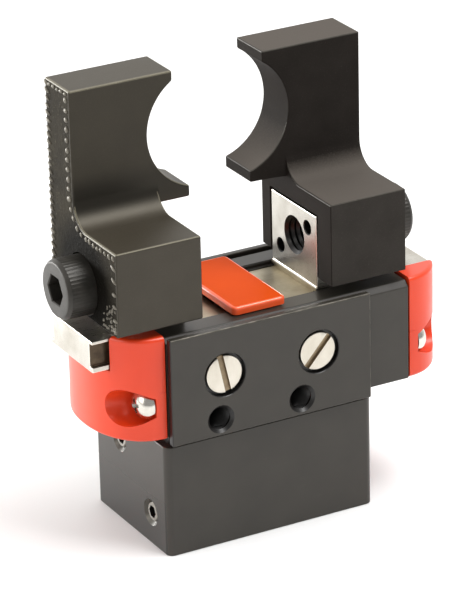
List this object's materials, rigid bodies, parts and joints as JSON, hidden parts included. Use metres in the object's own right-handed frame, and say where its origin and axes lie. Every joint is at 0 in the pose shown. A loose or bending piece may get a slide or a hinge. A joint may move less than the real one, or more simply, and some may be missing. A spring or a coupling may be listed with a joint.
{
  "type": "pneumatic parallel gripper",
  "caption": "Pneumatic parallel gripper with a T-shaped black body, red end covers and two sliding jaws that carry printed fingers with a gripping arc.",
  "frame": {"origin": "centre of the housing's base, on the flat end of the cylinder's end cap, which is flush with the base", "axes": "+X along the jaws' travel, towards the end where the guide overhangs; -Y out of the front plate with the two mounting holes; +Z from the base to the fingers"},
  "size_m": [0.0875, 0.036, 0.1004],
  "materials": {
    "black_anodised": "black anodised, satin",
    "red_plastic": "injection moulded, glossy",
    "orange_plastic": "injection moulded, glossy",
    "ground_steel": "ground and bright",
    "zinc_steel": "zinc plated",
    "black_steel": "black oxide",
    "printed_olive": "laser-sintered, rough",
    "printed_black": "laser-sintered, rough",
    "plain_aluminium": "turned",
    "bronze": "turned",
    "seal_rubber": "moulded",
    "spring_steel": "drawn wire"
  },
  "bodies": {
    "housing": {"gripper_body": "black_anodised", "front_plate": "black_anodised", "rear_plate": "black_anodised", "pivot_pin_left": "ground_steel", "pivot_pin_right": "ground_steel", "pivot_screw_left": "ground_steel", "pivot_screw_right": "ground_steel", "end_cover_left": "red_plastic", "end_cover_right": "red_plastic", "cover_screw_left_front": "zinc_steel", "cover_screw_left_rear": "zinc_steel", "cover_screw_right_front": "zinc_steel", "cover_screw_right_rear": "zinc_steel", "centre_cover": "orange_plastic", "port_plug_lower": "black_steel", "port_plug_upper": "black_steel", "rod_bushing": "bronze", "rod_seal": "seal_rubber", "end_cap": "plain_aluminium", "end_cap_seal": "seal_rubber", "retaining_ring": "spring_steel", "return_spring": "spring_steel"},
    "left_jaw": {"jaw_left": "ground_steel", "finger_left": "printed_olive", "finger_screw_left": "black_steel"},
    "right_jaw": {"jaw_right": "ground_steel", "finger_right": "printed_black", "finger_screw_right": "black_steel"},
    "piston_group": {"piston": "plain_aluminium", "piston_seal": "seal_rubber", "piston_rod": "ground_steel", "piston_nut": "zinc_steel", "crosshead": "ground_steel"},
    "left_lever": {"lever_left": "ground_steel"},
    "right_lever": {"lever_right": "ground_steel"}
  },
  "joints": [
    {"name": "left_jaw_slide", "type": "slide", "parent": "housing", "child": "left_jaw", "axis": [1, 0, 0], "range_m": [0, 0.005], "stiffness_N_per_m": 1000, "springref_m": -0.01},
    {"name": "right_jaw_slide", "type": "slide", "parent": "housing", "child": "right_jaw", "axis": [-1, 0, 0], "range_m": [0, 0.005]},
    {"name": "piston_slide", "type": "slide", "parent": "housing", "child": "piston_group", "axis": [0, 0, -1], "range_m": [0, 0.00484], "deforming": ["return_spring"]},
    {"name": "left_lever_hinge", "type": "hinge", "parent": "housing", "child": "left_lever", "pos_m": [-0.01125, 0, 0.03963], "axis": [0, 1, 0], "range_deg": [0, 47.6]},
    {"name": "right_lever_hinge", "type": "hinge", "parent": "housing", "child": "right_lever", "pos_m": [0.01125, 0, 0.03963], "axis": [0, -1, 0], "range_deg": [0, 47.6]}
  ],
  "couplings": [
    {"joint": "right_jaw_slide", "follows": "left_jaw_slide", "ratio": 1},
    {"joint": "piston_slide", "follows": "left_jaw_slide", "ratio": 0.96774},
    {"joint": "left_lever_hinge", "follows": "left_jaw_slide", "rad_per_m": 166.02},
    {"joint": "right_lever_hinge", "follows": "left_jaw_slide", "rad_per_m": 166.02}
  ]
}
